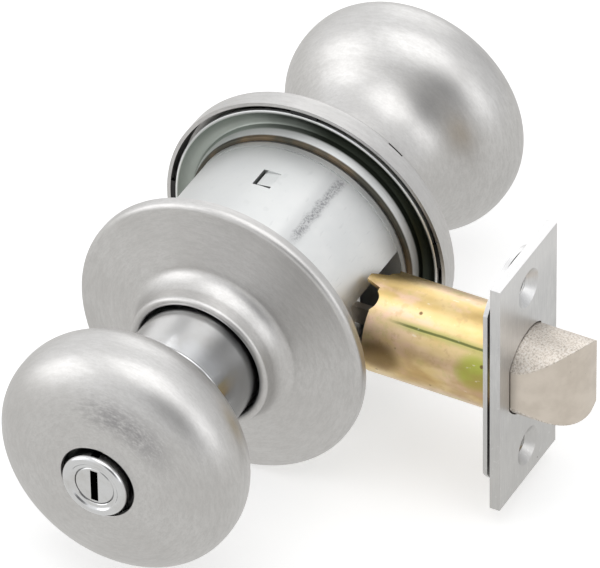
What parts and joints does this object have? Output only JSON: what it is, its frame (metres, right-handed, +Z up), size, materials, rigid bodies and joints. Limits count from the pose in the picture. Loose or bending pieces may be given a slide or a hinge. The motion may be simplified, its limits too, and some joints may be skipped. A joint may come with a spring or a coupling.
{
  "type": "cylindrical knob lockset",
  "caption": "Bored knob lockset: round knobs and roses on both sides of a door, chassis, privacy push button with coin release, and a spring latch with rectangular faceplate.",
  "frame": {"origin": "where the spindle axis crosses the latch axis, in the middle of the door's thickness", "axes": "+X towards the door edge, along the latch bolt; +Y towards the inside of the room, along the spindles; +Z up"},
  "size_m": [0.1055, 0.1517, 0.065],
  "materials": {
    "satin_chrome": "satin, brushed round the axis",
    "polished_chrome": "bright polished",
    "zinc_plate": "bright zinc plating, faintly mottled",
    "yellow_zinc": "yellow zinc dichromate with pink and green patches",
    "satin_steel": "satin, faint wear",
    "satin_nickel": "satin nickel, grainy on the round faces",
    "spring_steel": "bright"
  },
  "bodies": {
    "chassis": {"retractor_springs": "spring_steel", "bolt_spring": "spring_steel", "housing_shell": "zinc_plate", "housing_cap_outside": "zinc_plate", "housing_cap_inside": "zinc_plate", "spring_seat": "zinc_plate", "outside_rose": "satin_chrome", "outside_rose_liner": "zinc_plate", "mounting_plate": "zinc_plate", "mounting_screws": "spring_steel", "inside_rose": "satin_chrome", "rose_clips": "spring_steel", "latch_tube": "yellow_zinc", "faceplate": "satin_steel", "latch_back_plate": "satin_steel", "tube_guide": "yellow_zinc"},
    "outside_knob": {"outside_knob": "satin_chrome", "outside_knob_shank": "polished_chrome", "outside_spindle": "zinc_plate", "outside_knob_insert": "zinc_plate", "emergency_bezel": "polished_chrome", "outside_catch_spring": "spring_steel"},
    "emergency_turn": {"emergency_turn": "polished_chrome"},
    "outside_catch": {"outside_catch": "spring_steel"},
    "inside_knob": {"inside_knob": "satin_chrome", "inside_knob_shank": "polished_chrome", "inside_spindle": "zinc_plate", "inside_knob_insert": "zinc_plate", "push_button_bezel": "polished_chrome", "push_button_spring": "spring_steel", "inside_catch_spring": "spring_steel"},
    "push_button": {"push_button": "polished_chrome", "locking_bar": "spring_steel", "locking_dog": "spring_steel"},
    "inside_catch": {"inside_catch": "spring_steel"},
    "retractor": {"retractor": "zinc_plate"},
    "bolt": {"latch_bolt": "satin_nickel", "bolt_tail": "satin_nickel", "tail_rivet": "satin_nickel"}
  },
  "joints": [
    {"name": "inside_knob_turn", "type": "hinge", "parent": "chassis", "child": "inside_knob", "pos_m": [0, 0, 0], "axis": [0, 1, 0], "range_deg": [0, 60], "stiffness_Nm_per_rad": 0.3, "springref_deg": -17.19},
    {"name": "outside_knob_turn", "type": "hinge", "parent": "chassis", "child": "outside_knob", "pos_m": [0, 0, 0], "axis": [0, 1, 0], "range_deg": [0, 60]},
    {"name": "retractor_slide", "type": "slide", "parent": "chassis", "child": "retractor", "axis": [-1, 0, 0], "range_m": [0, 0.0127], "deforming": ["retractor_springs"]},
    {"name": "bolt_slide", "type": "slide", "parent": "chassis", "child": "bolt", "axis": [-1, 0, 0], "range_m": [0, 0.0127], "deforming": ["bolt_spring"]},
    {"name": "push_button_press", "type": "slide", "parent": "inside_knob", "child": "push_button", "axis": [0, -1, 0], "range_m": [0, 0.003], "stiffness_N_per_m": 400, "springref_m": -0.002, "deforming": ["push_button_spring"]},
    {"name": "emergency_turn_rotate", "type": "hinge", "parent": "outside_knob", "child": "emergency_turn", "pos_m": [0, 0, 0], "axis": [0, 1, 0], "range_deg": [0, 90]},
    {"name": "outside_catch_press", "type": "slide", "parent": "outside_knob", "child": "outside_catch", "axis": [0, 0, 1], "range_m": [0, 0.002], "stiffness_N_per_m": 400, "springref_m": -0.002, "deforming": ["outside_catch_spring"]},
    {"name": "inside_catch_press", "type": "slide", "parent": "inside_knob", "child": "inside_catch", "axis": [0, 0, 1], "range_m": [0, 0.002], "stiffness_N_per_m": 400, "springref_m": -0.002, "deforming": ["inside_catch_spring"]}
  ],
  "couplings": [
    {"joint": "outside_knob_turn", "follows": "inside_knob_turn", "ratio": 1},
    {"joint": "retractor_slide", "follows": "inside_knob_turn", "m_per_rad": 0.012127},
    {"joint": "bolt_slide", "follows": "inside_knob_turn", "m_per_rad": 0.012127}
  ]
}
